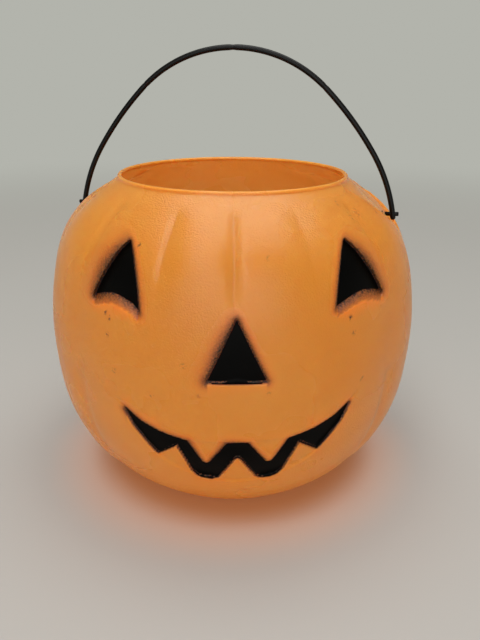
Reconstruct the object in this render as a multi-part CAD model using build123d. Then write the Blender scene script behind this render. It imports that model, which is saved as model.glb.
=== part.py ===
"""Pumpkin candy pail: a blow-moulded jack-o'-lantern pail with sprayed features and a swinging bail.

Millimetres, +Z up, origin at the middle of the foot, face towards -Y.
"""
import os
from math import cos, radians, sin

from build123d import *

# Pail body: half-widths and heights of the moulded profile; shoulder and neck hang from the rim
RIM_HEIGHT = 182.0
FOOT_RADIUS = 65.0
HIP_RADIUS = 94.6
HIP_HEIGHT = 28.0
BELLY_RADIUS = 110.0
BELLY_HEIGHT = 101.0
SHOULDER_RADIUS = 100.8
SHOULDER_DROP = 34.5
SHOULDER_HEIGHT = RIM_HEIGHT - SHOULDER_DROP
NECK_RADIUS = 66.0
NECK_DROP = 3.6
NECK_HEIGHT = RIM_HEIGHT - NECK_DROP
FOOT_SLOPE = 33.0
NECK_SLOPE = 24.0
WALL = 1.2
INSET_STEPS = 20

# Rolled lip and pushed-up base
LIP_BEAD = 1.6
PUSH_UP_RADIUS = 46.0
PUSH_UP_HEIGHT = 3.0
PUSH_UP_DRAFT = 3.0

# Segments of the pumpkin: one broad front for the face, then equal lobes round the rest
FACE_HALF_ANGLE = 50.0
SIDE_LOBES = 9
FACE_DROP = 1.2
LOBE_DROP = 1.8

# Face recesses and the paint sprayed on their floors
RECESS_DEPTH = 3.0
MOUTH_STEP = 0.8
PAINT_THICKNESS = 0.2
BARE_LEDGE = 2.2

# Eyes: distance from the face's middle line, and height; they hang from the rim
EYE_DROP = 52.0
EYE_HEIGHT = RIM_HEIGHT - EYE_DROP
EYE_TOP = (51.2, EYE_HEIGHT + 30.6)
EYE_SIDE = (64.6, EYE_HEIGHT + 16.4)
EYE_OUTER = (72.6, EYE_HEIGHT + 1.4)
EYE_SOLE = (60.4, EYE_HEIGHT + 4.0)
EYE_INNER = (46.0, EYE_HEIGHT)

# Nose: it rises from its base
NOSE_BASE_HEIGHT = 97.4
NOSE_RISE = 33.4
NOSE_TOP_HEIGHT = NOSE_BASE_HEIGHT + NOSE_RISE
NOSE_HALF_WIDTH = 14.8
NOSE_ARCH = 0.8

# Short creases above the face, from below the rim down to the nose
BROW_DEPTH = 0.8
BROW_WIDTH = 2.6
BROW_TOP_DROP = 6.0
BROW_TOP_HEIGHT = RIM_HEIGHT - BROW_TOP_DROP
BROW_NOSE_GAP = 3.2
BROW_LOW_HEIGHT = NOSE_TOP_HEIGHT + BROW_NOSE_GAP
BROW_TOP_OFFSET = 26.0
BROW_LOW_OFFSET = 37.0

# Mouth: a crescent with two upper and three lower teeth
MOUTH_CORNER = (62.5, 85.0)
MOUTH_ROOF_HEIGHT = 66.2
MOUTH_ROOF_FLAT = 24.0
MOUTH_CHIN_HEIGHT = 37.6
MOUTH_CHIN_END = (34.0, 48.0)
MOUTH_CHEEK = (47.6, 64.0)
UPPER_TOOTH = ((4.8, 66.2), (12.8, 53.6), (16.2, 51.2), (19.8, 54.0), (26.2, 66.2))
LOWER_TOOTH = ((41.6, 54.4), (31.2, 64.4), (26.2, 53.6), (22.8, 44.6))
MIDDLE_TOOTH_ROOT = (10.8, 41.4)
MIDDLE_TOOTH_TOP = (2.2, 56.8)
TOOTH_ROOT_REACH = 12.0

# Bail handle: one round moulded strap with a pivot pin near each end
HANDLE_TURN = 11.8
BAIL_SPAN = 186.4
BAIL_RISE = 88.0
STRAP_RADIUS = 1.5
APEX_ANGLE = 44.0
FLANK_ANGLE = 57.0
LEG_ANGLE = 79.0
FLANK_RADIUS = 190.0
TAIL_LENGTH = 3.6
PIVOT_DROP = 21.2
PIVOT_HEIGHT = RIM_HEIGHT - PIVOT_DROP
PIN_RADIUS = 1.2
PIN_OUTER_LENGTH = 3.4
HEAD_RADIUS = 2.1
HEAD_LENGTH = 1.7
HEAD_NOSE_RADIUS = 1.3

# Handle pockets in the shoulder, and the fits of the pin
POCKET_RADIUS = 10.0
POCKET_SETBACK = 4.4
PIN_CLEARANCE = 0.1
HEAD_GAP = 0.3

# Handle saddles: shallow channels down the shoulder, each with its round end under a pivot
SADDLE_DEPTH = 2.0
SADDLE_HALF_WIDTH = 20.0
SADDLE_FLARE = (16.2, 4.6)
SADDLE_ROUND_ANGLE = 17.0
SADDLE_TOP_DROP = 6.0


def belly_curve(inset: float) -> Edge:
    """The side profile from foot to neck, moved inwards by the inset."""
    foot_run = (cos(radians(FOOT_SLOPE)), sin(radians(FOOT_SLOPE)))
    neck_run = (-cos(radians(NECK_SLOPE)), sin(radians(NECK_SLOPE)))
    outer = Spline(
        (FOOT_RADIUS, 0.0),
        (HIP_RADIUS, HIP_HEIGHT),
        (BELLY_RADIUS, BELLY_HEIGHT),
        (SHOULDER_RADIUS, SHOULDER_HEIGHT),
        (NECK_RADIUS, NECK_HEIGHT),
        tangents=[foot_run, neck_run],
    )
    if inset == 0.0:
        return outer
    stations = [step / INSET_STEPS for step in range(INSET_STEPS + 1)]
    spots = [outer @ t + inset * (outer % t).rotate(Axis.Z, 90.0) for t in stations]
    return Spline(*spots, tangents=[outer % 0.0, outer % 1.0])


def heading(azimuth: float, reach: float) -> tuple:
    """A plan point at an azimuth counted from the face, positive towards its right as seen."""
    return (reach * sin(radians(azimuth)), -reach * cos(radians(azimuth)))


def lobe_shift(half_angle: float, drop: float) -> float:
    """How far a lobe's own axis stands out, so that its edges lie lower by the drop at the belly."""
    edge = BELLY_RADIUS - drop
    return (BELLY_RADIUS**2 - edge**2) / (2.0 * (BELLY_RADIUS - edge * cos(radians(half_angle))))


def lobe_round(azimuth: float, half_angle: float, drop: float, inset: float) -> Part:
    """The whole turned form that one lobe is a slice of."""
    shift = lobe_shift(half_angle, drop)
    side = Pos(-shift, 0) * belly_curve(inset)
    start = side @ 0.0
    end = side @ 1.0
    rest = Polyline((end.X, end.Y), (0.0, end.Y), (0.0, start.Y), (start.X, start.Y))
    turned = revolve(Plane.XZ * make_face(side + rest), Axis.Z)
    return Pos(*heading(azimuth, shift), 0) * turned


def lobe(azimuth: float, half_angle: float, drop: float, inset: float) -> Part:
    """One segment of the pumpkin: a wedge of its own turned form."""
    reach = 2.0 * BELLY_RADIUS
    plan = Polyline(
        (0.0, 0.0),
        heading(azimuth - half_angle, reach),
        heading(azimuth, reach),
        heading(azimuth + half_angle, reach),
        close=True,
    )
    wedge = extrude(make_face(plan), RIM_HEIGHT)
    return lobe_round(azimuth, half_angle, drop, inset) & wedge


def lobes() -> list:
    """Middle azimuth, half angle and edge drop of every segment, the face first."""
    half = (180.0 - FACE_HALF_ANGLE) / SIDE_LOBES
    middles = [FACE_HALF_ANGLE + (2 * index + 1) * half for index in range(SIDE_LOBES)]
    return [(0.0, FACE_HALF_ANGLE, FACE_DROP)] + [(middle, half, LOBE_DROP) for middle in middles]


def segmented(inset: float) -> Part:
    """The pumpkin form with all its segments round a plain core, as a filled solid up to the neck."""
    side = belly_curve(inset)
    core = disc(NECK_RADIUS / 2.0, (side @ 0.0).Y, (side @ 1.0).Y)
    return core + [lobe(azimuth, half, drop, inset) for azimuth, half, drop in lobes()]


def face_round(inset: float) -> Part:
    """The turned form of the face's own segment, for the floors of the recesses."""
    return lobe_round(0.0, FACE_HALF_ANGLE, FACE_DROP, inset)


def disc(radius: float, bottom: float, top: float) -> Part:
    """An upright round slab."""
    return Pos(0, 0, bottom) * extrude(Circle(radius), top - bottom)


def dish(radius: float, height: float) -> Part:
    """The drafted hollow under the base, wider at the floor."""
    return Cone(radius + PUSH_UP_DRAFT, radius, height, align=(Align.CENTER, Align.CENTER, Align.MIN))


def mirrored(point: tuple) -> tuple:
    """The same point on the other side of the face's middle line."""
    return (-point[0], point[1])


def eye_outline() -> Sketch:
    """The right eye: a straight inner edge, a bowed outer edge and an arched sole."""
    edges = ThreePointArc(EYE_TOP, EYE_SIDE, EYE_OUTER)
    edges += ThreePointArc(EYE_OUTER, EYE_SOLE, EYE_INNER)
    edges += Line(EYE_INNER, EYE_TOP)
    return make_face(edges)


def left_eye_outline() -> Sketch:
    """The left eye, the right one mirrored."""
    return mirror(eye_outline(), Plane.YZ)


def nose_outline() -> Sketch:
    """The nose: a tall triangle on a slightly arched base."""
    right = (NOSE_HALF_WIDTH, NOSE_BASE_HEIGHT)
    left = mirrored(right)
    edges = Polyline(left, (0.0, NOSE_TOP_HEIGHT), right)
    edges += ThreePointArc(right, (0.0, NOSE_BASE_HEIGHT + NOSE_ARCH), left)
    return make_face(edges)


def crescent_outline() -> Sketch:
    """The smiling mouth without its teeth."""
    roof = (MOUTH_ROOF_FLAT, MOUTH_ROOF_HEIGHT)
    edges = Line(mirrored(roof), roof)
    edges += TangentArc(roof, MOUTH_CORNER, tangent=(1.0, 0.0))
    edges += ThreePointArc(MOUTH_CORNER, MOUTH_CHEEK, MOUTH_CHIN_END)
    edges += ThreePointArc(MOUTH_CHIN_END, (0.0, MOUTH_CHIN_HEIGHT), mirrored(MOUTH_CHIN_END))
    edges += ThreePointArc(mirrored(MOUTH_CHIN_END), mirrored(MOUTH_CHEEK), mirrored(MOUTH_CORNER))
    edges += TangentArc(mirrored(roof), mirrored(MOUTH_CORNER), tangent=(-1.0, 0.0))
    return make_face(edges)


def teeth_outline() -> Sketch:
    """Two upper and three lower teeth, with roots that run past the mouth's edges."""
    gum = MOUTH_ROOF_HEIGHT + TOOTH_ROOT_REACH
    root = MOUTH_CHIN_HEIGHT - TOOTH_ROOT_REACH
    upper = [(UPPER_TOOTH[0][0], gum), *UPPER_TOOTH, (UPPER_TOOTH[-1][0], gum)]
    lower = [(LOWER_TOOTH[0][0], root), *LOWER_TOOTH, (LOWER_TOOTH[-1][0], root)]
    half = [(MIDDLE_TOOTH_ROOT[0], root), MIDDLE_TOOTH_ROOT, MIDDLE_TOOTH_TOP]
    middle = half + [mirrored(point) for point in reversed(half)]
    outlines = [middle]
    for tooth in (upper, lower):
        outlines += [tooth, [mirrored(point) for point in tooth]]
    return Sketch() + [make_face(Polyline(*outline, close=True)) for outline in outlines]


def mouth_outline() -> Sketch:
    """The painted zigzag between the teeth."""
    return crescent_outline() - teeth_outline()


def brow_outline(side: int) -> Sketch:
    """A short crease above the face, pointed at both ends."""
    top = (side * BROW_TOP_OFFSET, BROW_TOP_HEIGHT)
    low = (side * BROW_LOW_OFFSET, BROW_LOW_HEIGHT)
    middle = ((top[0] + low[0]) / 2.0, (top[1] + low[1]) / 2.0)
    edges = ThreePointArc(top, (middle[0] + BROW_WIDTH / 2.0, middle[1]), low)
    edges += ThreePointArc(low, (middle[0] - BROW_WIDTH / 2.0, middle[1]), top)
    return make_face(edges)


def prism(outline: Sketch) -> Part:
    """The outline carried from the pail's axis out through its face."""
    return extrude(Plane.XZ * outline, 2.0 * BELLY_RADIUS, dir=(0, -1, 0))


def hinge_frame(side: int) -> Location:
    """The frame of one pivot: +X points outwards along the hinge line, from the pail's axis."""
    turn = -HANDLE_TURN if side > 0 else 180.0 - HANDLE_TURN
    return Rot(0, 0, turn) * Pos(0, 0, PIVOT_HEIGHT)


def hinge_bar(radius: float, start: float, end: float) -> Part:
    """A round bar on the hinge line, between two distances from the pail's axis."""
    return Pos(start, 0, 0) * extrude(Plane.YZ * Circle(radius), end - start)


def saddle_outline() -> Sketch:
    """A saddle seen along the hinge line: a round end under the pivot that flares to a straight top."""
    turn = radians(SADDLE_ROUND_ANGLE)
    waist = (POCKET_RADIUS * cos(turn), -POCKET_RADIUS * sin(turn))
    top = (SADDLE_HALF_WIDTH, RIM_HEIGHT - SADDLE_TOP_DROP - PIVOT_HEIGHT)
    edges = ThreePointArc(mirrored(waist), (0.0, -POCKET_RADIUS), waist)
    edges += ThreePointArc(waist, SADDLE_FLARE, top)
    edges += Line(top, mirrored(top))
    edges += ThreePointArc(mirrored(top), mirrored(SADDLE_FLARE), mirrored(waist))
    return make_face(edges)


def saddle(side: int, grow: float) -> Part:
    """What one saddle takes from the outer form or, grown by the wall, from the hollow."""
    outline = offset(saddle_outline(), grow) if grow else saddle_outline()
    channel = hinge_frame(side) * extrude(Plane.YZ * outline, 2.0 * BELLY_RADIUS)
    return channel - lobe_round(0.0, FACE_HALF_ANGLE, 0.0, SADDLE_DEPTH + grow)


def pocket_face() -> float:
    """Distance of the pockets' flat faces from the pail's axis."""
    return BAIL_SPAN / 2.0 - POCKET_SETBACK


# Each painted recess: its own outline, and its opening, which the inner wall follows
FEATURES = {
    "left_eye_paint": (left_eye_outline, left_eye_outline),
    "right_eye_paint": (eye_outline, eye_outline),
    "nose_paint": (nose_outline, nose_outline),
    "mouth_paint": (mouth_outline, crescent_outline),
}


def make_pail() -> Part:
    """The blow-moulded pail: one even wall that follows every recess."""
    outer = segmented(0.0) - dish(PUSH_UP_RADIUS, PUSH_UP_HEIGHT)
    cavity = segmented(WALL) - disc(2.0 * BELLY_RADIUS, -WALL, WALL)
    cavity -= dish(PUSH_UP_RADIUS + WALL, PUSH_UP_HEIGHT + WALL)

    for outline, opening in FEATURES.values():
        outer -= prism(outline()) - face_round(RECESS_DEPTH)
        cavity -= prism(offset(opening(), WALL)) - face_round(RECESS_DEPTH + WALL)
    outer -= prism(crescent_outline()) - face_round(MOUTH_STEP)
    for side in (-1, 0, 1):
        outer -= prism(brow_outline(side)) - face_round(BROW_DEPTH)
        cavity -= prism(offset(brow_outline(side), WALL)) - face_round(BROW_DEPTH + WALL)

    for side in (1, -1):
        frame = hinge_frame(side)
        outer -= saddle(side, 0.0)
        cavity -= saddle(side, WALL)
        outer -= frame * hinge_bar(POCKET_RADIUS, pocket_face(), 2.0 * BELLY_RADIUS)
        cavity -= frame * hinge_bar(POCKET_RADIUS + WALL, pocket_face() - WALL, 2.0 * BELLY_RADIUS)

    outer += disc(NECK_RADIUS, NECK_HEIGHT - WALL, RIM_HEIGHT - LIP_BEAD)
    cavity += disc(NECK_RADIUS - WALL, NECK_HEIGHT - 3.0 * WALL, RIM_HEIGHT)
    pail = outer - cavity
    for side in (1, -1):
        pail -= hinge_frame(side) * hinge_bar(PIN_RADIUS + PIN_CLEARANCE, NECK_RADIUS, BELLY_RADIUS)
    return pail + Pos(0, 0, RIM_HEIGHT - LIP_BEAD) * Torus(NECK_RADIUS - WALL / 2.0, LIP_BEAD)


def make_paint(name: str) -> Part:
    """A film of paint on the floor of one recess, from its walls down to the bare ledge."""
    outline, opening = FEATURES[name]
    painted = outline() & (Pos(0, BARE_LEDGE) * opening())
    coat = prism(painted) & face_round(RECESS_DEPTH - PAINT_THICKNESS)
    return coat - face_round(RECESS_DEPTH)


def bail_path() -> Wire:
    """The strap's middle line: a tight apex, flat flanks and rounded legs, tangent throughout."""
    half = BAIL_SPAN / 2.0
    sines = [sin(radians(angle)) for angle in (APEX_ANGLE, FLANK_ANGLE, LEG_ANGLE)]
    cosines = [cos(radians(angle)) for angle in (APEX_ANGLE, FLANK_ANGLE, LEG_ANGLE)]
    run = half - FLANK_RADIUS * (sines[1] - sines[0])
    fall = BAIL_RISE - FLANK_RADIUS * (cosines[0] - cosines[1])
    apex_run, apex_fall = sines[0], 1.0 - cosines[0]
    leg_run, leg_fall = sines[2] - sines[1], cosines[1] - cosines[2]
    share = apex_run * leg_fall - leg_run * apex_fall
    apex_radius = (run * leg_fall - leg_run * fall) / share
    leg_radius = (apex_run * fall - run * apex_fall) / share
    arcs = (
        (apex_radius, APEX_ANGLE),
        (FLANK_RADIUS, FLANK_ANGLE - APEX_ANGLE),
        (leg_radius, LEG_ANGLE - FLANK_ANGLE),
    )
    spot = Vector(0.0, BAIL_RISE)
    run_on = Vector(1.0, 0.0)
    right = []
    for radius, sweep_angle in arcs:
        arc = JernArc(spot, run_on, radius, -sweep_angle)
        right.append(arc)
        spot = arc @ 1.0
        run_on = arc % 1.0
    right.append(Line(spot, spot + TAIL_LENGTH * run_on))
    half_path = Curve() + right
    return Wire((half_path + mirror(half_path, Plane.YZ)).edges())


def make_handle() -> Part:
    """The moulded bail: strap with rounded tails, pivot pins and snap heads inside the pail."""
    path = Plane.XZ * bail_path()
    strap = sweep(Plane(path @ 0.0, z_dir=path % 0.0) * Circle(STRAP_RADIUS), path=path)
    for end in (0.0, 1.0):
        strap += Pos(*(path @ end)) * Sphere(STRAP_RADIUS)
    handle = hinge_frame(1) * strap
    head_seat = pocket_face() - WALL - HEAD_GAP
    head = Cone(HEAD_NOSE_RADIUS, HEAD_RADIUS, HEAD_LENGTH, align=(Align.CENTER, Align.CENTER, Align.MAX))
    for side in (1, -1):
        frame = hinge_frame(side)
        handle += frame * hinge_bar(PIN_RADIUS, head_seat - HEAD_LENGTH, BAIL_SPAN / 2.0 + PIN_OUTER_LENGTH)
        handle += frame * Pos(head_seat, 0, 0) * Rot(0, 90, 0) * head
    return handle


def main() -> None:
    """Build every piece and write it to its own file."""
    os.makedirs("parts", exist_ok=True)
    pieces = {"pail_body": make_pail(), "bail_handle": make_handle()}
    pieces.update({name: make_paint(name) for name in FEATURES})
    for name, piece in pieces.items():
        export_step(piece, f"parts/{name}.step")
        print(name, round(piece.volume, 1), len(piece.solids()))


if __name__ == "__main__":
    main()
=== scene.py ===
"""Pumpkin candy pail: moulded shell, sprayed face and bail handle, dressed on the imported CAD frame.

Sizes are in millimetres and turned to metres when a mesh is made. +Z is up, and the face looks towards -Y.
Azimuths are in degrees from the face towards +X.
"""

import logging
import math
from dataclasses import dataclass
from enum import Enum
from typing import Any

import bpy
import numpy as np
from mathutils import Matrix, Vector

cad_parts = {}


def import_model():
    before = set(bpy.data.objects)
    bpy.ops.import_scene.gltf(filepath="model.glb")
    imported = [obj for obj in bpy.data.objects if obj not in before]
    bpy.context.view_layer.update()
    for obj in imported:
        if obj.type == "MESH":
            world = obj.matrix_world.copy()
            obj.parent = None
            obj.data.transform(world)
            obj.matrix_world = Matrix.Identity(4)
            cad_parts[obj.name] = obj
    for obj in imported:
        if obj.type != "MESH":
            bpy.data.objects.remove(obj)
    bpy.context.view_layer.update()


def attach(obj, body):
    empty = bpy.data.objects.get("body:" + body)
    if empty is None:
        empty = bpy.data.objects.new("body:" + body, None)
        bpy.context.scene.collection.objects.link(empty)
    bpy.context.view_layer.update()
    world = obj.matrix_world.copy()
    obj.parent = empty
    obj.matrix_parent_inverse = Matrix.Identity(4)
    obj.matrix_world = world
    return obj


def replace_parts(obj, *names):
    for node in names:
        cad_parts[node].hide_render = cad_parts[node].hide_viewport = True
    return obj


Array = np.ndarray
Pair = tuple[float, float]
Points = tuple[Pair, ...]
Place = tuple[float, float, float]
Material = bpy.types.Material
Piece = bpy.types.Object

MM = 0.001

log = logging.getLogger("pumpkin_pail")


class Slot(Enum):
    """Material slots of the record."""

    SHELL = "orange_polyethylene"
    HANDLE = "black_polyethylene"
    PAINT = "black_paint"


class Side(Enum):
    """The two sides of the face, as seen from the front."""

    LEFT = -1
    RIGHT = 1


def linear(colour: str) -> tuple[float, float, float, float]:
    """An sRGB colour of six hex digits as linear RGBA with an alpha of one."""
    parts = [int(colour[at:at + 2], 16) / 255.0 for at in (0, 2, 4)]
    red, green, blue = (c / 12.92 if c <= 0.04045 else ((c + 0.055) / 1.055) ** 2.4 for c in parts)
    return red, green, blue, 1.0


def ease(value: Array) -> Array:
    """Smooth step from 0 to 1: the cubic 3t^2 - 2t^3 on the clipped value."""
    t = np.clip(value, 0.0, 1.0)
    return t * t * (3.0 - 2.0 * t)


def ramp(value: Array, start: float, run: float) -> Array:
    """Smooth step that begins at the start and is full one run later."""
    return ease((value - start) / run)


def rounded(way: Array, soft: Array | float) -> Array:
    """A way from 0 to 1 with its end rounded off: 1 - sqrt((1 - way)^2 + soft^2)."""
    return 1.0 - np.sqrt((1.0 - way) ** 2 + soft**2)


def spline(points: Array, samples: Array) -> Array:
    """Natural cubic spline through points, on their chord length.

    The second derivatives solve the usual three-band system; each span is then the cubic between its ends.

    Args:
        points: (n, 2) points to pass through.
        samples: parameters from 0 to 1.

    Returns:
        (m, 2) points on the curve.
    """
    knots = np.concatenate([[0.0], np.cumsum(np.linalg.norm(np.diff(points, axis=0), axis=1))])
    knots = knots / knots[-1]
    gaps = np.diff(knots)
    count = len(points)
    bands = np.eye(count)
    right = np.zeros((count, 2))
    inner = np.arange(1, count - 1)
    bands[inner, inner - 1] = gaps[:-1]
    bands[inner, inner] = 2.0 * (gaps[:-1] + gaps[1:])
    bands[inner, inner + 1] = gaps[1:]
    slopes = np.diff(points, axis=0) / gaps[:, None]
    right[inner] = 6.0 * np.diff(slopes, axis=0)
    bend = np.linalg.solve(bands, right)
    span = np.clip(np.searchsorted(knots, samples, side="right") - 1, 0, count - 2)
    gap = gaps[span][:, None]
    after = (samples - knots[span])[:, None]
    before = gap - after
    cubic = (bend[span] * before**3 + bend[span + 1] * after**3) / (6.0 * gap)
    left = (points[span] / gap - bend[span] * gap / 6.0) * before
    return cubic + left + (points[span + 1] / gap - bend[span + 1] * gap / 6.0) * after


def inside_distance(places: Array, outline: Array) -> Array:
    """Signed distance to a closed outline, positive inside.

    The distance is the least one to any edge; the sign comes from counting the edges crossed on the way out.

    Args:
        places: (n, 2) points.
        outline: (m, 2) corners in order.

    Returns:
        (n,) distances.
    """
    start = outline[None]
    run = np.roll(outline, -1, axis=0)[None] - start
    away = places[:, None] - start
    along = np.clip((away * run).sum(2) / np.maximum((run * run).sum(2), 1e-12), 0.0, 1.0)
    least = np.linalg.norm(away - along[..., None] * run, axis=2).min(1)
    rises = (away[..., 1] >= 0.0) != (away[..., 1] >= run[..., 1])
    climb = np.where(run[..., 1] == 0.0, 1e-12, run[..., 1])
    crossed = rises & (away[..., 0] < run[..., 0] * away[..., 1] / climb)
    return np.where(crossed.sum(1) % 2 == 1, least, -least)


def sheet_object(name: str, grid: Array, caps: Array | None = None) -> Piece:
    """A smooth closed mesh from a stack of closed rings, with one point closing each end.

    Args:
        name: object name.
        grid: (rings, around, 3) points in millimetres; neighbours become quads.
        caps: the points that close the first and the last ring; by default their middles.

    Returns:
        The object, linked to the scene.
    """
    rings, around, _ = grid.shape
    ends = grid[[0, -1]].mean(1) if caps is None else caps
    spots = np.concatenate([grid.reshape(-1, 3), ends]) * MM
    here = np.arange(rings * around).reshape(rings, around)
    turn = np.roll(here, -1, axis=1)
    quads = np.stack([here[:-1], turn[:-1], turn[1:], here[1:]], axis=-1).reshape(-1, 4)
    first = np.stack([turn[0], here[0], np.full_like(here[0], rings * around)], axis=-1)
    last = np.stack([here[-1], turn[-1], np.full_like(here[-1], rings * around + 1)], axis=-1)
    mesh = bpy.data.meshes.new(name)
    mesh.from_pydata(spots.tolist(), [], quads.tolist() + first.tolist() + last.tolist())
    mesh.polygons.foreach_set("use_smooth", np.ones(len(mesh.polygons), dtype=bool))
    mesh.update()
    piece = bpy.data.objects.new(name, mesh)
    bpy.context.scene.collection.objects.link(piece)
    return piece


def joined(name: str, parts: list[Piece]) -> Piece:
    """One object from several closed forms of the same moulding, which are used up."""
    with bpy.context.temp_override(active_object=parts[0], selected_editable_objects=parts):
        bpy.ops.object.join()
    parts[0].name = name
    return parts[0]


def point_value(piece: Piece, name: str, values: Array) -> None:
    """Store one number per vertex under a name; the two closing points get zero."""
    layer = piece.data.attributes.new(name, "FLOAT", "POINT")
    layer.data.foreach_set("value", np.concatenate([values.ravel(), [0.0, 0.0]]).astype(np.float32))


def add(tree: Any, kind: str, settings: dict[str, Any], **inputs: Any) -> Any:
    """Add a node with its settings and inputs.

    Args:
        tree: material or world whose node tree takes the node.
        kind: node type name.
        settings: values by attribute name, or by socket name where the node has no such attribute.
        inputs: sockets to link, or constants, by input name with _ for a space; in_0 is input number 0.

    Returns:
        The new node.
    """
    node = tree.node_tree.nodes.new(kind)
    for key, value in settings.items():
        if hasattr(node, key):
            setattr(node, key, value)
        else:
            node.inputs[key].default_value = value
    for key, source in inputs.items():
        target = node.inputs[int(key[3:]) if key.startswith("in_") else key.replace("_", " ")]
        if isinstance(source, bpy.types.NodeSocket):
            tree.node_tree.links.new(source, target)
        else:
            target.default_value = source
    return node


def fresh_material(name: str) -> tuple[Material, Any]:
    """A node material with nothing in it but the object's own coordinates, and their socket."""
    material = bpy.data.materials.new(name)
    material.use_nodes = True
    material.node_tree.nodes.clear()
    return material, add(material, "ShaderNodeTexCoord", {}).outputs["Object"]


def noise(made: Material, place: Any, size_mm: float, detail: float) -> Any:
    """Socket of a noise from 0 to 1 with a grain of the given size."""
    settings = {"Scale": 1.0 / (size_mm * MM), "Detail": detail}
    return add(made, "ShaderNodeTexNoise", settings, Vector=place).outputs["Fac"]


def blend(made: Material, share: Any, first: Any, second: Any) -> Any:
    """Socket of the colour that a share moves from the first colour to the second."""
    mix = add(made, "ShaderNodeMix", {"data_type": "RGBA"}, in_0=share, in_6=first, in_7=second)
    return mix.outputs[2]


def scaled(made: Material, value: Any, factor: float, offset: Any) -> Any:
    """Socket of value * factor + offset."""
    settings = {"operation": "MULTIPLY_ADD"}
    return add(made, "ShaderNodeMath", settings, in_0=value, in_1=factor, in_2=offset).outputs[0]


def product(made: Material, first: Any, second: Any) -> Any:
    """Socket of first * second, kept between 0 and 1."""
    settings = {"operation": "MULTIPLY", "use_clamp": True}
    return add(made, "ShaderNodeMath", settings, in_0=first, in_1=second).outputs[0]


def bumped(made: Material, height: Any, strength: float, depth_mm: float) -> Any:
    """Socket of the surface normal that a height from 0 to 1 leaves, at the given depth."""
    settings = {"Strength": strength, "Distance": depth_mm * MM}
    return add(made, "ShaderNodeBump", settings, Height=height).outputs[0]


def finished(made: Material, skin: Any) -> Material:
    """The material with that shader node as its surface."""
    add(made, "ShaderNodeOutputMaterial", {}, Surface=skin.outputs[0])
    return made


@dataclass(frozen=True)
class MouldedPolyethylene:
    """Blow-moulded low-density polyethylene, coloured right through.

    Light enters the thin wall and comes out softened, the mould's blasted face leaves an orange-peel pebble,
    and years of use leave specks and rubbed marks.
    """

    name: str = "orange_polyethylene_blow_moulded"
    base: str = "F3811F"
    pale: str = "F39139"
    stain: str = "3A2414"
    paint: str = "1C0D05"
    roughness: float = 0.27
    roughness_drift: float = 0.12
    spray_dulls: float = 0.4
    pebble_mm: float = 0.9
    pebble_depth_mm: float = 0.24
    cloud_mm: float = 60.0
    dirt_mm: float = 1.6
    dirt_cut: Pair = (0.46, 0.58)
    spray_mm: float = 0.9
    scatter_mm: float = 8.0

    def build(self) -> Material:
        """The material, with overspray, scuffs and specks read from the shell's own point values."""
        made, place = fresh_material(self.name)
        # Colour drifts a little over a palm's width, as uneven wall thickness does
        cloud = noise(made, place, self.cloud_mm, 3.0)
        body = blend(made, cloud, linear(self.base), linear(self.pale))
        # Rubbed dirt clings in ragged dots, so the soft marks are cut by a fine noise
        scuff = add(made, "ShaderNodeAttribute", {"attribute_name": "scuff"}).outputs["Fac"]
        ragged = add(
            made, "ShaderNodeMapRange", {"From Min": self.dirt_cut[0], "From Max": self.dirt_cut[1]},
            Value=noise(made, place, self.dirt_mm, 4.0),
        )
        marked = blend(made, product(made, ragged.outputs[0], scuff), body, linear(self.stain))
        # Overspray thins out in fine dots: the grain takes up to 40% of it away
        spray = add(made, "ShaderNodeAttribute", {"attribute_name": "overspray"}).outputs["Fac"]
        grain = scaled(made, noise(made, place, self.spray_mm, 1.0), 0.8, 0.6)
        covered = product(made, grain, spray)
        colour = blend(made, covered, marked, linear(self.paint))
        # The shine drifts with the colour, and dry spray dulls it
        sheen = scaled(made, cloud, self.roughness_drift, self.roughness - self.roughness_drift / 2.0)
        pebble = noise(made, place, self.pebble_mm, 1.5)
        skin = add(
            made, "ShaderNodeBsdfPrincipled",
            {"IOR": 1.51, "Specular IOR Level": 0.4, "Subsurface Weight": 1.0,
             "Subsurface Radius": (1.0, 0.86, 0.7), "Subsurface Scale": self.scatter_mm * MM},
            Base_Color=colour, Roughness=scaled(made, covered, self.spray_dulls, sheen),
            Normal=bumped(made, pebble, 0.9, self.pebble_depth_mm),
        )
        return finished(made, skin)


@dataclass(frozen=True)
class HandlePolyethylene:
    """Injection-moulded black polyethylene: smooth and half glossy, dulled a little by handling."""

    name: str = "black_polyethylene_moulded"
    base: str = "020202"
    rubbed: str = "080807"
    roughness: float = 0.3
    rub_mm: float = 14.0
    grain_mm: float = 1.5
    grain_depth_mm: float = 0.05

    def build(self) -> Material:
        """The material: rubbed patches are a little greyer and duller."""
        made, place = fresh_material(self.name)
        rub = noise(made, place, self.rub_mm, 4.0)
        grain = noise(made, place, self.grain_mm, 2.0)
        skin = add(
            made, "ShaderNodeBsdfPrincipled", {"IOR": 1.51, "Specular IOR Level": 0.2},
            Base_Color=blend(made, rub, linear(self.base), linear(self.rubbed)),
            Roughness=scaled(made, rub, 0.3, self.roughness - 0.1),
            Normal=bumped(made, grain, 0.1, self.grain_depth_mm),
        )
        return finished(made, skin)


@dataclass(frozen=True)
class SprayedPaint:
    """Black spray paint on moulded plastic: satin, with the pebble of the mould still showing through."""

    name: str = "black_paint_sprayed"
    base: str = "010101"
    thin: str = "050403"
    roughness: float = 0.45
    patch_mm: float = 9.0
    pebble_mm: float = 1.3
    pebble_depth_mm: float = 0.15

    def build(self) -> Material:
        """The material: thin patches let a trace of warm colour through."""
        made, place = fresh_material(self.name)
        patch = noise(made, place, self.patch_mm, 3.0)
        pebble = noise(made, place, self.pebble_mm, 1.5)
        skin = add(
            made, "ShaderNodeBsdfPrincipled",
            {"IOR": 1.5, "Roughness": self.roughness, "Specular IOR Level": 0.05},
            Base_Color=blend(made, patch, linear(self.base), linear(self.thin)),
            Normal=bumped(made, pebble, 0.4, self.pebble_depth_mm),
        )
        return finished(made, skin)


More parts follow.
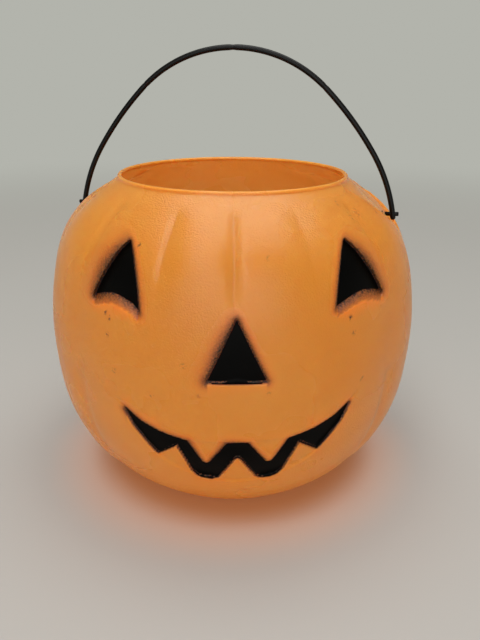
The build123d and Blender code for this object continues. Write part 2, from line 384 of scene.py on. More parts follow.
@dataclass(frozen=True)
class PaintedFloor:
    """A plain pale painted floor for the stage; a run is where a layer starts to fade and where it ends."""

    name: str = "pale_floor_painted"
    base: str = "B3B0AC"
    shade: str = "94714F"
    glow: str = "75492B"
    shade_run: Pair = (72.0, 98.0)
    glow_run: Pair = (88.0, 128.0)
    floor_run: Pair = (420.0, 1500.0)

    def falling(self, made: Material, reach: Any, run: Pair) -> Any:
        """A weight that is one within the run's start, measured from the middle, and none past its end."""
        return add(
            made, "ShaderNodeMapRange",
            {"interpolation_type": "SMOOTHSTEP", "From Min": run[0] * MM, "From Max": run[1] * MM,
             "To Min": 1.0, "To Max": 0.0},
            Value=reach,
        ).outputs[0]

    def build(self, air: str, air_strength: float) -> Material:
        """The material: matte with a faint mottle, melting into the air of that colour far from the pail.

        A path tracer carries little of the light that shines through two thin walls to the floor, so the
        floor round the foot has an orange shade under the belly and a soft orange glow past it.
        """
        made, place = fresh_material(self.name)
        mottle = add(made, "ShaderNodeTexNoise", {"Scale": 6.0, "Detail": 2.0}, Vector=place).outputs["Fac"]
        reach = add(made, "ShaderNodeVectorMath", {"operation": "LENGTH"}, in_0=place).outputs["Value"]
        shaded = self.falling(made, reach, self.shade_run)
        skin = add(
            made, "ShaderNodeBsdfPrincipled", {"Emission Color": linear(self.glow)},
            Base_Color=blend(made, shaded, linear(self.base), linear(self.shade)),
            Roughness=scaled(made, mottle, 0.1, 0.55),
            Emission_Strength=self.falling(made, reach, self.glow_run),
        )
        haze = add(made, "ShaderNodeEmission", {"Color": linear(air), "Strength": air_strength})
        ground = add(
            made, "ShaderNodeMixShader", {}, in_0=self.falling(made, reach, self.floor_run),
            in_1=haze.outputs[0], in_2=skin.outputs[0],
        )
        return finished(made, ground)


@dataclass(frozen=True)
class PaintedFeature:
    """One painted recess of the face: the paint lies between a lower and an upper line over a run of x.

    The recess is its depth and the ledge the height of the sloping sill below. The spray drifted one way,
    spilled on that sill and left a halo all round. The skirt is how far the film runs up the lower wall.
    """

    node: str
    lower: Points
    upper: Points
    recess: float
    ledge: float
    drift: Pair
    spill: float
    skirt: float = 0.0
    halo: float = 2.5

    def edges(self, x: Array) -> tuple[Array, Array]:
        """Heights of the lower and the upper line at x, straight between their corners."""
        low = np.array(self.lower)
        high = np.array(self.upper)
        return np.interp(x, low[:, 0], low[:, 1]), np.interp(x, high[:, 0], high[:, 1])

    def span(self) -> Pair:
        """The run of x that the paint covers."""
        return self.lower[0][0], self.lower[-1][0]

    def outline(self) -> Array:
        """The paint's edge as a closed loop: along the lower line and back along the upper one."""
        return np.array(self.lower + self.upper[::-1])


def mirrored(points: Points, sag: float = 0.0, narrow: float = 0.0, about: float = 0.0) -> Points:
    """The same line on the other side of the face, still running from left to right.

    Args:
        points: the line on the right side.
        sag: how much lower the copy lies for each millimetre from the middle.
        narrow: share that the copy loses in width.
        about: distance from the middle that stays where it is when the width shrinks.

    Returns:
        The line on the left side.
    """
    return tuple((narrow * (x - about) - x, z - sag * x) for x, z in reversed(points))


def across_mouth(half: Points) -> Points:
    """A line over the whole mouth from its right half: the left half sags and is a little narrower."""
    return mirrored(half, sag=0.03, narrow=0.02)[:-1] + half


def other_eye(points: Points) -> Points:
    """A line of the left eye from the right one's: narrower, with an inner corner of its own."""
    return mirrored((LEFT_EYE_CORNER, *points[1:]), narrow=0.09, about=36.0)


LEFT_EYE_CORNER = (48.4, 129.9)
EYE_SOLE: Points = (
    (48.4, 131.4), (51.6, 132.8), (55.2, 134.1), (59.2, 135.3), (63.6, 135.6), (68.5, 134.6), (73.8, 132.4),
)
EYE_BROW: Points = (
    (48.4, 131.5), (49.2, 139.4), (50.4, 147.5), (51.8, 154.7), (53.3, 159.2), (56.5, 156.7), (59.8, 153.5),
    (64.2, 148.0), (68.0, 142.7), (71.6, 136.8), (73.8, 132.5),
)
NOSE_SOLE: Points = ((-14.5, 100.0), (-0.5, 100.3), (13.5, 100.0))
NOSE_SIDES: Points = ((-14.5, 100.1), (-0.6, 129.7), (13.5, 100.1))
HALF_ROOF: Points = (
    (0.0, 64.3), (5.4, 64.1), (11.0, 56.1), (14.4, 50.9), (16.2, 50.1), (18.2, 51.1), (21.4, 56.9),
    (26.0, 64.9), (30.0, 65.8), (40.6, 68.5), (50.0, 72.7), (57.7, 78.2),
)
HALF_CHIN: Points = (
    (0.0, 56.2), (1.3, 55.8), (2.6, 54.1), (6.6, 47.5), (10.5, 40.8), (13.2, 40.1), (17.6, 40.6),
    (20.4, 41.8), (23.2, 44.8), (26.2, 52.5), (31.2, 63.3), (36.4, 59.3), (41.5, 55.3), (46.8, 61.5),
    (53.4, 70.1), (57.7, 78.1),
)
FEATURES = (
    PaintedFeature(
        "left_eye_paint", other_eye(EYE_SOLE), other_eye(EYE_BROW),
        recess=3.0, ledge=2.8, drift=(-2.4, 1.6), spill=1.0,
    ),
    PaintedFeature(
        "right_eye_paint", EYE_SOLE, EYE_BROW, recess=3.0, ledge=2.8, drift=(1.6, 1.0), spill=1.0,
    ),
    PaintedFeature(
        "nose_paint", NOSE_SOLE, NOSE_SIDES, recess=1.6, ledge=0.0, drift=(-2.0, 0.6), spill=0.95, skirt=1.1,
    ),
    PaintedFeature(
        "mouth_paint", across_mouth(HALF_CHIN), across_mouth(HALF_ROOF),
        recess=1.6, ledge=0.3, drift=(-0.5, 0.6), spill=0.95, skirt=1.3, halo=1.6,
    ),
)
# The mouth's shallow step: a crescent round the painted part
HALF_CRESCENT_TOP: Points = (
    (0.0, 65.7), (24.0, 65.8), (36.0, 68.4), (48.0, 73.5), (56.0, 79.1), (62.5, 84.5),
)
HALF_CRESCENT_LOW: Points = (
    (0.0, 36.8), (10.0, 38.3), (24.6, 42.7), (34.0, 47.5), (40.4, 52.3), (48.0, 63.1), (56.0, 75.9),
    (62.5, 84.4),
)
# Half width of a handle saddle by height over the pivot, seen along the hinge line
SADDLE_WIDTHS: Points = (
    (-16.0, -8.0), (-10.4, 0.0), (-9.4, 3.9), (-7.0, 7.4), (-3.0, 10.0), (1.5, 14.0), (5.5, 17.6),
    (9.0, 19.3), (13.0, 20.4), (19.0, 20.8),
)
# Dark specks and rubbed marks: azimuth, height, radius and strength
SPOTS = (
    (-37.2, 126.3, 0.9, 1.6), (-36.2, 125.4, 0.7, 1.3), (-35.9, 123.6, 0.7, 1.3), (-36.4, 115.6, 0.9, 1.2),
    (-34.2, 97.5, 1.0, 1.2), (-13.7, 107.3, 1.1, 0.8), (-9.8, 92.2, 0.8, 0.8), (-30.2, 159.2, 0.8, 1.4),
    (31.2, 125.3, 1.0, 1.3), (32.3, 117.3, 0.9, 1.2), (36.2, 90.4, 1.0, 1.0), (7.8, 93.7, 0.8, 0.5),
    (8.5, 156.5, 0.8, 0.6), (-22.5, 88.8, 0.9, 0.9), (56.9, 176.1, 1.6, 0.5), (57.3, 174.2, 1.5, 0.5),
    (50.4, 168.7, 1.8, 0.5), (45.4, 167.5, 1.6, 0.5), (43.3, 174.3, 1.5, 0.4), (61.7, 170.9, 1.5, 0.5),
    (61.5, 168.5, 1.4, 0.5), (61.3, 166.2, 1.4, 0.5),
)


@dataclass(frozen=True)
class Crease:
    """A shallow groove up the front: azimuth, widths to its left and right, depth, heights of its ends."""

    azimuth: float
    left: float
    right: float
    depth: float
    low: float
    high: float


CREASES = (
    Crease(-1.1, 3.6, 3.6, 1.3, 131.0, 170.0),
    Crease(-1.1, 0.7, 0.7, 0.3, 131.0, 170.0),
    Crease(-21.5, 2.0, 7.0, 0.8, 142.0, 166.0),
    Crease(-51.0, 3.4, 3.4, 1.1, 28.0, 82.0),
    Crease(51.0, 3.4, 3.4, 1.1, 28.0, 82.0),
)


@dataclass(frozen=True)
class Overspray:
    """Paint that missed its film: a soft halo round each outline, and a spill on the wall and sill below."""

    below_run: float = 0.8
    drift_gain: float = 1.3
    thinner_below: float = 0.75
    sill_margin: float = 1.5
    sill_thins: float = 0.2
    spill_reach: float = 1.7
    spill_edge: float = 0.6

    def cover(self, x: Array, z: Array) -> Array:
        """Cover of paint at (x, z).

        The halo is a bell of the distance from the paint, wider where the spray drifted to and narrower
        below. The spill thins out down the sill and stops just past its foot.
        """
        places = np.stack([x.ravel(), z.ravel()], axis=1)
        cover = np.zeros(len(places))
        for feature in FEATURES:
            loop = feature.outline()
            off_paint = np.maximum(0.0, -inside_distance(places, loop))
            off_sill = np.maximum(0.0, -inside_distance(places, loop - np.array([0.0, feature.ledge])))
            under, _ = feature.edges(places[:, 0])
            drop = under - places[:, 1]
            first, last = feature.span()
            below = ease(drop / self.below_run) * ((places[:, 0] > first) & (places[:, 0] < last))
            outward = places - (loop.max(0) + loop.min(0)) / 2.0
            outward = outward / np.maximum(np.linalg.norm(outward, axis=1, keepdims=True), 1e-6)
            width = feature.halo + self.drift_gain * np.maximum(0.0, outward @ np.array(feature.drift))
            width = width * (1.0 - self.thinner_below * below)
            down = np.clip(drop / (feature.ledge + self.sill_margin), 0.0, 1.0)
            spill = feature.spill * below * (1.0 - self.sill_thins * feature.ledge * down)
            spill = spill * ease((self.spill_reach - off_sill) / self.spill_edge)
            cover = np.maximum(cover, np.maximum(np.exp(-((off_paint / width) ** 2)), spill))
        return cover.reshape(x.shape)


@dataclass
class PailShell:
    """The blow-moulded pail: a lobed pumpkin form with an even wall and all that is pressed into it.

    A pair named rise, fade or top is where a change begins and how far it runs.
    """

    wall: float = 1.2
    lip_bead: float = 1.15
    lip_centre: Pair = (65.5, 180.85)
    lip_sweep: Pair = (-18.0, 225.0)
    base_hub: float = 20.0
    push_up: float = 3.0
    push_up_radius: float = 46.0
    push_up_run: float = 3.4
    floor_run: float = 2.8
    floor_edge: float = 60.5
    foot: Pair = (56.0, 61.0)
    foot_rise: Pair = (56.0, 12.0)
    neck_fade: Pair = (170.0, 8.0)
    face_half: float = 50.0
    face_dense: float = 48.0
    face_limit: float = 60.0
    facing_limit: float = 0.3
    facing_least: float = 0.45
    front_round: float = 0.03
    side_lobes: int = 9
    lobe_drop: float = 1.8
    lobe_gain: float = 0.6
    lobe_round: float = 0.08
    belly_height: float = 101.0
    belly_reach: float = 80.0
    brow_drop: float = 1.5
    brow_rise: Pair = (122.0, 44.0)
    brow_angles: tuple[float, ...] = (-50.0, -21.5, -1.1, 21.5, 50.0)
    crease_fade: float = 9.0
    arc_radius: float = 100.0
    profile_step: float = 0.002
    inner_spread: float = 1.6
    edge_run: float = 0.6
    edge_gain: float = 0.2
    ledge_steps: int = 5
    ledge_rise: float = 0.85
    film_room: float = 0.3
    mouth_step: float = 0.65
    mouth_edge: float = 1.4
    handle_turn: float = 11.8
    pivot_height: float = 160.8
    pocket_face: float = 88.8
    pocket_radius: float = 10.0
    pocket_round: float = 0.8
    pocket_slope: float = 6.0
    saddle_depth: float = 1.9
    saddle_edge: float = 1.4
    saddle_back: float = 1.45
    saddle_half: float = 19.0
    saddle_inner: float = 0.6
    saddle_lift: float = 1.6
    saddle_top: Pair = (174.0, 5.0)
    saddle_fades: float = 0.8
    saddle_from: float = 40.0
    spray: Overspray = Overspray()

    def side(self) -> Array:
        """Outer profile points (radius, height) from foot to neck."""
        return np.array([
            (64.4, 0.0), (69.6, 3.3), (76.4, 8.6), (89.0, 20.2), (98.6, 36.0), (105.8, 56.0), (109.2, 80.0),
            (110.0, 100.0), (108.3, 120.0), (104.0, 140.0), (97.6, 154.0), (87.4, 166.0), (77.4, 173.8),
            (70.8, 177.6), (67.3, 179.7),
        ])

    def heights(self) -> tuple[Array, Array]:
        """Parameters along the side for the outer wall, dense over the face, and for the inner wall."""
        outer = np.concatenate([
            np.linspace(0.0, 0.20, 11)[:-1], np.linspace(0.20, 0.90, 158)[:-1], np.linspace(0.90, 1.0, 12),
        ])
        return outer, np.concatenate([np.linspace(1.0, 0.7, 22)[1:], np.linspace(0.7, 0.0, 20)[1:]])

    def azimuths(self) -> Array:
        """Azimuths in degrees, dense over the face, at every lobe's edge and round both handle saddles."""
        face = np.linspace(-self.face_dense, self.face_dense, 221)
        half = (180.0 - self.face_half) / self.side_lobes
        middles = self.face_half + half * (2 * np.arange(self.side_lobes) + 1)
        fan = half * np.sin(np.linspace(-0.5, 0.5, 10, endpoint=False) * math.pi)
        lobes = (middles[:, None] + fan[None]).ravel()
        reach = np.linspace(-self.saddle_half, self.saddle_half, 35)
        right = 90.0 - self.handle_turn
        every = np.concatenate([face, lobes, right + reach, right + 180.0 + reach])
        return np.unique(np.round((every + self.face_dense) % 360.0, 2)) - self.face_dense

    def lobe_fall(self, azimuth: Array, height: Array) -> Array:
        """How far the lobes' edges and the creases lie inside the full round.

        Over one lobe, or one segment above the brows, the fall grows with the square of the way from its
        middle to its rounded edge. Each crease is a bell across its line that fades out past its ends.
        """
        turned = (azimuth + 180.0) % 360.0 - 180.0
        half = (180.0 - self.face_half) / self.side_lobes
        local = (azimuth % 360.0 - self.face_half) % (2.0 * half) - half
        front = np.abs(turned) < self.face_half
        way = np.where(front, np.abs(turned) / self.face_half, np.abs(local) / half)
        way = rounded(way, np.where(front, self.front_round, self.lobe_round))
        drop = self.lobe_drop + self.lobe_gain * ((height - self.belly_height) / self.belly_reach) ** 2
        fall = drop * way**2
        edges = np.array(self.brow_angles)
        span = np.clip(np.searchsorted(edges, turned, side="right") - 1, 0, len(edges) - 2)
        middle = (edges[span] + edges[span + 1]) / 2.0
        brow_way = np.abs(turned - middle) / ((edges[span + 1] - edges[span]) / 2.0)
        brow_way = rounded(np.minimum(brow_way, 1.0), self.front_round)
        fall = fall + self.brow_drop * brow_way**2 * ramp(height, *self.brow_rise) * front
        for crease in CREASES:
            off = np.radians(turned - crease.azimuth) * self.arc_radius
            off = np.where(off < 0.0, off / crease.left, off / crease.right)
            ending = ease((crease.high + self.crease_fade - height) / self.crease_fade)
            run = ramp(height, crease.low, self.crease_fade) * ending
            fall = fall + crease.depth * np.exp(-(off**2)) * run
        return fall

    def fade(self, radius: Array, height: Array) -> Array:
        """Weight of the lobes: none on the flat base and at the lip, full between."""
        return ramp(radius, *self.foot_rise) * (1.0 - ramp(height, *self.neck_fade))

    def press(self, x: Array, z: Array, spread: float) -> Array:
        """Depth pressed into the face at (x, z).

        Each recess is full depth under its paint and rises to the surface over its edge. Below the paint its
        outline is swept down along a ledge and grows shallower on the way, which makes a sloping sill. The
        mouth's step is a shallow plateau under the whole crescent. For the inner wall every edge is wider by
        the spread.
        """
        places = np.stack([x.ravel(), z.ravel()], axis=1)
        depth = np.zeros(len(places))
        for feature in FEATURES:
            loop = feature.outline()
            edge = self.edge_run + self.edge_gain * feature.recess
            for part in np.linspace(0.0, 1.0, self.ledge_steps):
                off = -inside_distance(places, loop - np.array([0.0, part * feature.ledge]))
                sunk = ease(1.0 - (off - spread - self.film_room) / edge)
                depth = np.maximum(depth, feature.recess * (1.0 - self.ledge_rise * part) * sunk)
        low, top = across_mouth(HALF_CRESCENT_LOW), across_mouth(HALF_CRESCENT_TOP)
        inward = inside_distance(places, np.array(low + top[::-1]))
        step = self.mouth_step * ease(0.5 + inward / (self.mouth_edge + spread))
        return np.maximum(depth, step).reshape(x.shape)

    def saddled(self, x: Array, y: Array, z: Array, spread: float) -> Array:
        """Depth of the two handle saddles at points of the outer surface, along its normal.

        They are channels down the shoulder that end in a round just under the pivots, wider at the back. For
        the inner wall they reach further on every side by the spread.
        """
        turn = math.radians(-self.handle_turn)
        out = np.abs(x * math.cos(turn) + y * math.sin(turn))
        across = y * math.cos(turn) - x * math.sin(turn)
        across = np.where(across > 0.0, across / self.saddle_back, -across)
        widths = np.array(SADDLE_WIDTHS)
        half = np.interp(z + self.saddle_lift * spread - self.pivot_height, widths[:, 0], widths[:, 1])
        within = ease(0.5 + (half + spread - across) / self.saddle_edge)
        kept = 1.0 - self.saddle_fades * ramp(z, *self.saddle_top)
        return self.saddle_depth * within * kept * (out > self.saddle_from)

    def pocketed(self, grid: Array, inset: float) -> Array:
        """The grid with both handle pockets pressed in.

        Near the hinge line no point may lie further out than the pocket's flat face, less the inset; past
        the pocket's radius that limit climbs steeply, which makes its wall.
        """
        turn = math.radians(-self.handle_turn)
        for side in Side:
            line = side.value * np.array([math.cos(turn), math.sin(turn), 0.0])
            out = grid @ line
            across = grid - out[..., None] * line - np.array([0.0, 0.0, self.pivot_height])
            beyond = np.linalg.norm(across, axis=2) - (self.pocket_radius - self.pocket_round + inset)
            limit = self.pocket_face - inset + self.pocket_slope * np.maximum(0.0, beyond)
            cut = np.where(out > 0.0, np.maximum(0.0, out - limit), 0.0)
            grid = grid - cut[..., None] * line
        return grid

    def wall_grid(self, samples: Array, azimuth: Array, inset: float) -> tuple[Array, Array, Array]:
        """One wall of the pail from its side profile.

        A profile point's radius loses the lobes' fall, the inset and the saddles move it inwards along the
        profile's normal, the face's recesses push it back along +Y, and the pockets hold it in.

        Args:
            samples: parameters along the side.
            azimuth: degrees from the face.
            inset: wall thickness for the inner surface, 0 for the outer.

        Returns:
            Grid of points, and x and z of the outer surface before anything is pressed in.
        """
        radius, height = spline(self.side(), samples).T
        ahead = spline(self.side(), np.clip(samples + self.profile_step, 0.0, 1.0))
        behind = spline(self.side(), np.clip(samples - self.profile_step, 0.0, 1.0))
        run = ahead - behind
        run = run / np.linalg.norm(run, axis=1, keepdims=True)
        normal = np.stack([run[:, 1], -run[:, 0]], axis=1)
        angle = np.radians(azimuth)[None]
        fall = self.lobe_fall(azimuth[None], height[:, None]) * self.fade(radius, height)[:, None]
        outer = radius[:, None] - fall
        x = outer * np.sin(angle)
        z = np.broadcast_to(height[:, None], outer.shape)
        spread = self.inner_spread * inset
        sunk = inset + self.saddled(x, -outer * np.cos(angle), z, self.saddle_inner * spread)
        inner = outer - sunk * normal[:, :1]
        level = z - sunk * normal[:, 1:]
        facing = np.cos(angle) * normal[:, :1]
        face = (np.abs(azimuth[None]) < self.face_limit) & (facing > self.facing_limit)
        depth = np.where(face, self.press(x, z, spread), 0.0)
        back = depth / np.maximum(facing, self.facing_least)
        grid = np.stack([inner * np.sin(angle), back - inner * np.cos(angle), level], axis=-1)
        return self.pocketed(grid, inset), x, z

    def ends(self) -> tuple[Array, Array, Array]:
        """Profile points (radius, height) of the base from below, the rolled lip and the inner base."""
        up, inmost = self.push_up, self.push_up_radius
        rise = np.linspace(0.0, 1.0, 5)
        fall = rise[::-1]
        base = np.concatenate([
            np.array([(self.base_hub, up), (inmost - 1.0, up)]),
            np.stack([inmost + self.push_up_run * rise, up * (1.0 - ease(rise))], axis=1),
            np.array([(radius, 0.0) for radius in self.foot]),
        ])
        sweep = np.radians(np.linspace(*self.lip_sweep, 15))
        lip = np.array(self.lip_centre) + self.lip_bead * np.stack([np.cos(sweep), np.sin(sweep)], axis=1)
        floor = np.concatenate([
            np.array([(self.floor_edge, self.wall), (inmost + self.push_up_run, self.wall)]),
            np.stack([inmost + self.floor_run * fall, self.wall + up * ease(1.0 - fall)], axis=1),
            np.array([(self.base_hub, up + self.wall)]),
        ])
        return base, lip, floor

    def ring(self, outline: Array, azimuth: Array) -> Array:
        """Profile points (radius, height) turned round the axis."""
        angle = np.radians(azimuth)[None]
        radius = outline[:, :1]
        level = np.broadcast_to(outline[:, 1:], (len(outline), len(azimuth)))
        return np.stack([radius * np.sin(angle), -radius * np.cos(angle), level], axis=-1)

    def scuffs(self, azimuth: Array, height: Array) -> Array:
        """Strength of the dark specks and rubbed marks, each a soft round spot."""
        spots = np.array(SPOTS)
        turn = np.radians(azimuth[None, :, None] - spots[:, 0]) * self.arc_radius
        rise = height[..., None] - spots[:, 1]
        return (spots[:, 3] * np.exp(-(turn**2 + rise**2) / spots[:, 2] ** 2)).max(-1)

    def build(self, finish: Material) -> Piece:
        """The whole closed shell from base to inner base, riding on its body in place of its CAD node."""
        azimuth = self.azimuths()
        outer_at, inner_at = self.heights()
        outer, x, z = self.wall_grid(outer_at, azimuth, 0.0)
        inner, _, _ = self.wall_grid(inner_at, azimuth, self.wall)
        base, lip, floor = (self.ring(outline, azimuth) for outline in self.ends())
        grid = np.concatenate([base, outer, lip, inner, floor])
        caps = np.array([(0.0, 0.0, self.push_up), (0.0, 0.0, self.push_up + self.wall)])
        piece = sheet_object("pail_shell", grid, caps)
        face = np.abs(azimuth[None]) < self.face_limit
        cover = np.where(face, self.spray.cover(x, z), 0.0)
        for name, values in (("overspray", cover), ("scuff", self.scuffs(azimuth, z))):
            everywhere = np.zeros(grid.shape[:2])
            everywhere[len(base):len(base) + len(outer)] = values
            point_value(piece, name, everywhere)
        piece.data.materials.append(finish)
        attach(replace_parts(piece, "pail_body"), "pail")
        return piece

    def front(self, x: Array, z: Array) -> tuple[Array, Array]:
        """The recessed face at (x, z): its y, and the forward part of the surface normal.

        Azimuth and fall depend on each other, so they are found together in three rounds.
        """
        fine = spline(self.side(), np.linspace(0.0, 1.0, 800))
        radius = np.interp(z, fine[:, 1], fine[:, 0])
        slope = np.interp(z, fine[:, 1], np.gradient(fine[:, 0], fine[:, 1]))
        turned = radius
        for _ in range(3):
            angle = np.degrees(np.arcsin(np.clip(x / turned, -0.99, 0.99)))
            turned = radius - self.lobe_fall(angle, z) * self.fade(radius, z)
        facing = np.maximum(np.cos(np.radians(angle)) / np.sqrt(1.0 + slope**2), self.facing_least)
        return self.press(x, z, 0.0) / facing - np.sqrt(turned**2 - x**2), facing


@dataclass
class FaceFilms:
    """The sprayed films of black paint on the floors of the recesses."""

    shell: PailShell
    thickness: float = 0.15
    sunk: float = 0.25
    skirt_run: float = 2.5
    end_gap: float = 0.002
    columns: int = 190
    rows: int = 22

    def build(self, feature: PaintedFeature, finish: Material) -> Piece:
        """One film: a closed thin sheet between its lower and upper line.

        Columns run over x and rows from the lower to the upper line; the loop goes up the front and down the
        back. A skirt carries the paint from the recess floor up its lower wall and tapers off at both ends.
        The film rides on the pail's body in place of its CAD node.
        """
        first, last = feature.span()
        x = first + (last - first) * np.linspace(self.end_gap, 1.0 - self.end_gap, self.columns)
        low, high = feature.edges(x)
        low = low - feature.skirt * ease(np.minimum(x - first, last - x) / self.skirt_run)
        share = np.linspace(0.0, 1.0, self.rows)
        wide = np.broadcast_to(x[:, None], (self.columns, self.rows))
        tall = low[:, None] + (high - low)[:, None] * share
        back, facing = self.shell.front(wide, tall)
        front = np.stack([wide, back - self.thickness / facing, tall], axis=-1)
        behind = np.stack([wide, back + self.sunk / facing, tall], axis=-1)
        loop = np.concatenate([front, behind[:, ::-1]], axis=1)
        piece = sheet_object(feature.node.replace("_paint", "_film"), loop)
        piece.data.materials.append(finish)
        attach(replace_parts(piece, feature.node), "pail")
        return piece


@dataclass
class BailHandle:
    """The moulded bail: a round strap bent to a tall arch, with a pivot pin and a snap head at each end.

    The shell has no holes, so a pin stops outside its pocket and its head sits behind the wall. A nick is a
    share of the half strap, a depth and a width.
    """

    shell: PailShell
    span: float = 186.4
    rise: float = 88.0
    strap_radius: float = 1.5
    bends: tuple[float, float, float] = (44.0, 57.0, 79.0)
    flank_radius: float = 190.0
    tail: float = 3.6
    tail_start: float = 0.6
    tail_steps: int = 6
    round_steps: int = 3
    ridge: Pair = (0.06, 0.16)
    nicks: tuple[tuple[float, float, float], ...] = ((0.0, 0.22, 0.012), (0.52, 0.16, 0.008))
    pin_radius: float = 1.2
    pin_outer: float = 3.4
    chamfer: float = 0.3
    head_radius: float = 1.7
    head_nose: float = 1.1
    head_length: float = 1.7
    head_round: float = 0.2
    clear: float = 0.1

    def half_line(self) -> tuple[Array, Array]:
        """Middle line of the right half from the apex, and its direction.

        Three arcs follow each other tangentially. The flank's radius is given; the apex and leg radii solve
        the two equations that the arcs' runs add up to half the span and their falls to the rise. A straight
        tail follows.

        Returns:
            (n, 2) points (along the hinge line, above the pivots) and (n, 2) unit directions.
        """
        bends = np.radians(self.bends)
        sine, cosine = np.sin(bends), np.cos(bends)
        run = self.span / 2.0 - self.flank_radius * (sine[1] - sine[0])
        fall = self.rise - self.flank_radius * (cosine[0] - cosine[1])
        pair = np.array([[sine[0], sine[2] - sine[1]], [1.0 - cosine[0], cosine[1] - cosine[2]]])
        apex, leg = np.linalg.solve(pair, np.array([run, fall]))
        angle = np.radians(np.linspace(0.0, self.bends[2], 150))
        radii = np.where(angle < bends[0], apex, np.where(angle < bends[1], self.flank_radius, leg))
        way = np.stack([np.cos(angle), -np.sin(angle)], axis=1)
        steps = radii[:-1, None] * (way[:-1] + way[1:]) / 2.0 * np.diff(angle)[:, None]
        line = np.concatenate([[[0.0, 0.0]], np.cumsum(steps, axis=0)])
        line = line * np.array([self.span / 2.0, self.rise]) / np.array([line[-1, 0], -line[-1, 1]])
        line = line + np.array([0.0, self.rise])
        ends = line[-1] + way[-1] * np.linspace(self.tail_start, self.tail, self.tail_steps)[:, None]
        tail_way = np.repeat(way[-1:], self.tail_steps, axis=0)
        return np.concatenate([line, ends]), np.concatenate([way, tail_way])

    def placed(self, grid: Array) -> Array:
        """Points (along the hinge line, across it, above the pivots) turned and lifted to their place."""
        turn = math.radians(-self.shell.handle_turn)
        along = (math.cos(turn), -math.sin(turn), 0.0)
        across = (math.sin(turn), math.cos(turn), 0.0)
        spin = np.array([along, across, (0.0, 0.0, 1.0)])
        return grid @ spin.T + np.array([0.0, 0.0, self.shell.pivot_height])

    def strap(self) -> Piece:
        """The strap: a ring carried along the middle line, with a faint parting ridge and rounded tails.

        The ring's radius is the strap's, less a few nicks, plus a narrow ridge where the two mould halves
        met, and it shrinks as a quarter circle over the last of each tail.
        """
        right, way = self.half_line()
        line = np.concatenate([(right * (-1.0, 1.0))[:0:-1], right])
        heading = np.concatenate([(way * (1.0, -1.0))[:0:-1], way])
        around = np.linspace(0.0, 2.0 * math.pi, 24, endpoint=False)
        ridge = self.ridge[0] * np.exp(-((np.sin(around) / self.ridge[1]) ** 2))
        to_end = np.minimum(np.arange(len(line)), np.arange(len(line))[::-1])
        part = np.minimum(to_end, self.round_steps) / self.round_steps
        close = np.sqrt(np.clip(1.0 - (1.0 - part) ** 2, 0.02, 1.0))
        along = np.abs(np.linspace(-1.0, 1.0, len(line)))
        nick = sum(depth * np.exp(-(((along - at) / width) ** 2)) for at, depth, width in self.nicks)
        radius = (self.strap_radius - nick)[:, None] * close[:, None] + ridge[None] * close[:, None]
        outward = np.stack([-heading[:, 1], heading[:, 0]], axis=1)
        plane = line[:, None] + (radius * np.cos(around))[..., None] * outward[:, None]
        grid = np.stack([plane[..., 0], radius * np.sin(around), plane[..., 1]], axis=-1)
        return sheet_object("strap", self.placed(grid[:, ::-1]))

    def turned(self, name: str, outline: Points, side: Side) -> Piece:
        """A form turned round one end of the hinge line from (distance out, radius), inner end first."""
        profile = np.array(outline)
        around = np.linspace(0.0, 2.0 * math.pi, 28, endpoint=False) * side.value
        out = np.broadcast_to(side.value * profile[:, :1], (len(profile), len(around)))
        grid = np.stack([out, profile[:, 1:] * np.cos(around), profile[:, 1:] * np.sin(around)], axis=-1)
        return sheet_object(name, self.placed(grid[:, ::-1]))

    def build(self, finish: Material) -> Piece:
        """The whole bail as one object, riding on the handle's body in place of its CAD node."""
        parts = [self.strap()]
        tip = self.span / 2.0 + self.pin_outer
        seat = self.shell.pocket_face - self.shell.wall - self.clear
        nose = seat - self.head_length
        pin = (
            (self.shell.pocket_face + self.clear, self.pin_radius), (tip - self.chamfer, self.pin_radius),
            (tip, self.pin_radius - self.chamfer),
        )
        head = (
            (nose, self.head_nose - self.chamfer), (nose + self.head_round, self.head_nose),
            (seat - self.head_round, self.head_radius), (seat, self.head_radius - self.head_round),
        )
        for side in Side:
            parts += [self.turned("pin", pin, side), self.turned("head", head, side)]
        piece = joined("bail", parts)
        piece.data.materials.append(finish)
        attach(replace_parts(piece, "bail_handle"), "handle")
        return piece


@dataclass(frozen=True)
class Panel:
    """A flat lit panel: its centre, the point it faces, its width and length, and its power in watts."""

    name: str
    place: Place
    target: Place
    size: Pair
    watts: float

    def build(self) -> None:
        """Add the panel to the scene."""
        data = bpy.data.lights.new(self.name, "AREA")
        data.shape = "RECTANGLE"
        data.size, data.size_y = (side * MM for side in self.size)
        data.energy = self.watts
        lamp = bpy.data.objects.new(self.name, data)
        aim = (Vector(self.target) - Vector(self.place)).to_track_quat("-Z", "Y").to_matrix().to_4x4()
        lamp.matrix_world = Matrix.Translation(Vector(self.place) * MM) @ aim
        bpy.context.scene.collection.objects.link(lamp)


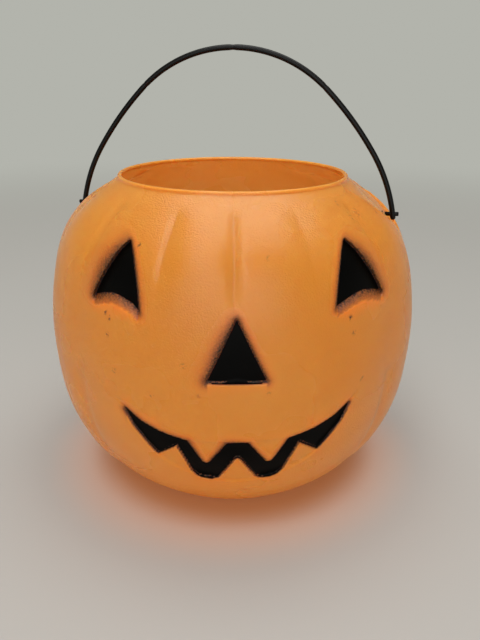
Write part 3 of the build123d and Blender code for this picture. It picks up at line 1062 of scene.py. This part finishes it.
@dataclass
class Studio:
    """Floor, soft light and the camera at the photograph's viewing angle."""

    eye: Place = (-8.96, -380.1, 238.5)
    yaw: float = 2.05
    pitch: float = 21.53
    roll: float = 0.33
    lens: float = 36.0
    sensor: float = 36.0
    floor_radius: float = 3000.0
    floor_rings: tuple[float, float, float] = (0.05, 0.3, 1.0)
    air: str = "B7B8B0"
    air_strength: float = 0.95
    sky_stops: Points = ((0.0, 1.0), (0.1, 1.0), (0.25, 0.3), (0.7, 0.7), (0.95, 1.6))
    panels: tuple[Panel, ...] = (
        Panel("strip", (-430.0, -1150.0, 1400.0), (-430.0, -1150.0, 0.0), (350.0, 1300.0), 5.0),
        Panel("top", (60.0, 60.0, 1500.0), (60.0, 60.0, 0.0), (1300.0, 1300.0), 13.0),
        Panel("wall", (-150.0, -2000.0, 800.0), (0.0, 0.0, 100.0), (2600.0, 1800.0), 22.5),
    )

    def camera(self) -> None:
        """The camera: turned by its yaw to +X, tipped down by its pitch, then rolled about its own sight."""
        data = bpy.data.cameras.new("camera")
        data.lens = self.lens
        data.sensor_fit = "VERTICAL"
        data.sensor_height = self.sensor
        data.clip_start = 0.01
        camera = bpy.data.objects.new("camera", data)
        aim = Matrix.Rotation(math.radians(-self.yaw), 4, "Z")
        tip = Matrix.Rotation(math.radians(90.0 - self.pitch), 4, "X")
        lean = Matrix.Rotation(math.radians(self.roll), 4, "Z")
        camera.matrix_world = Matrix.Translation(Vector(self.eye) * MM) @ aim @ tip @ lean
        bpy.context.scene.collection.objects.link(camera)
        bpy.context.scene.camera = camera

    def floor(self) -> None:
        """A round floor, given as a fan of rings so that it is one flat sheet."""
        around = np.linspace(0.0, 2.0 * math.pi, 96, endpoint=False)
        radius = np.array(self.floor_rings)[:, None] * self.floor_radius
        level = np.zeros((len(radius), len(around)))
        rings = np.stack([radius * np.cos(around), radius * np.sin(around), level], axis=-1) * MM
        index = np.arange(level.size).reshape(level.shape)
        turn = np.roll(index, -1, axis=1)
        quads = np.stack([index[:-1], index[1:], turn[1:], turn[:-1]], axis=-1).reshape(-1, 4)
        mesh = bpy.data.meshes.new("floor")
        mesh.from_pydata(rings.reshape(-1, 3).tolist(), [], quads.tolist() + [index[0].tolist()])
        floor = bpy.data.objects.new("floor", mesh)
        floor.data.materials.append(PaintedFloor().build(self.air, self.air_strength))
        bpy.context.scene.collection.objects.link(floor)

    def sky(self) -> None:
        """The air: near the horizon as bright as the far floor, dimmer over it and brightest overhead."""
        world = bpy.data.worlds.new("air")
        world.use_nodes = True
        world.node_tree.nodes.clear()
        way = add(world, "ShaderNodeTexCoord", {}).outputs["Generated"]
        rise = add(world, "ShaderNodeSeparateXYZ", {}, Vector=way)
        shades = add(world, "ShaderNodeValToRGB", {}, Fac=rise.outputs["Z"])
        stops = shades.color_ramp.elements
        stops[0].position, stops[1].position = self.sky_stops[0][0], self.sky_stops[-1][0]
        for place, _ in self.sky_stops[1:-1]:
            stops.new(place)
        for stop, (_, share) in zip(stops, self.sky_stops):
            stop.color = [share * part for part in linear(self.air)[:3]] + [1.0]
        glow = {"Strength": self.air_strength}
        air = add(world, "ShaderNodeBackground", glow, Color=shades.outputs["Color"])
        add(world, "ShaderNodeOutputWorld", {}, Surface=air.outputs[0])
        bpy.context.scene.world = world

    def build(self) -> None:
        """Set the whole stage."""
        bpy.context.scene.view_settings.view_transform = "Standard"
        self.sky()
        self.camera()
        self.floor()
        for panel in self.panels:
            panel.build()


def main() -> None:
    """Load the frame, build the pail, its films and its handle, set the stage and report every piece."""
    logging.basicConfig(level=logging.INFO, format="%(message)s")
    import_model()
    Studio().build()
    shell = PailShell()
    pieces = [shell.build(MouldedPolyethylene().build())]
    paint = SprayedPaint().build()
    films = FaceFilms(shell)
    pieces += [films.build(feature, paint) for feature in FEATURES]
    pieces.append(BailHandle(shell).build(HandlePolyethylene().build()))
    for piece in pieces:
        log.info("%s: %d faces", piece.name, len(piece.data.polygons))


if __name__ == "__main__":
    main()
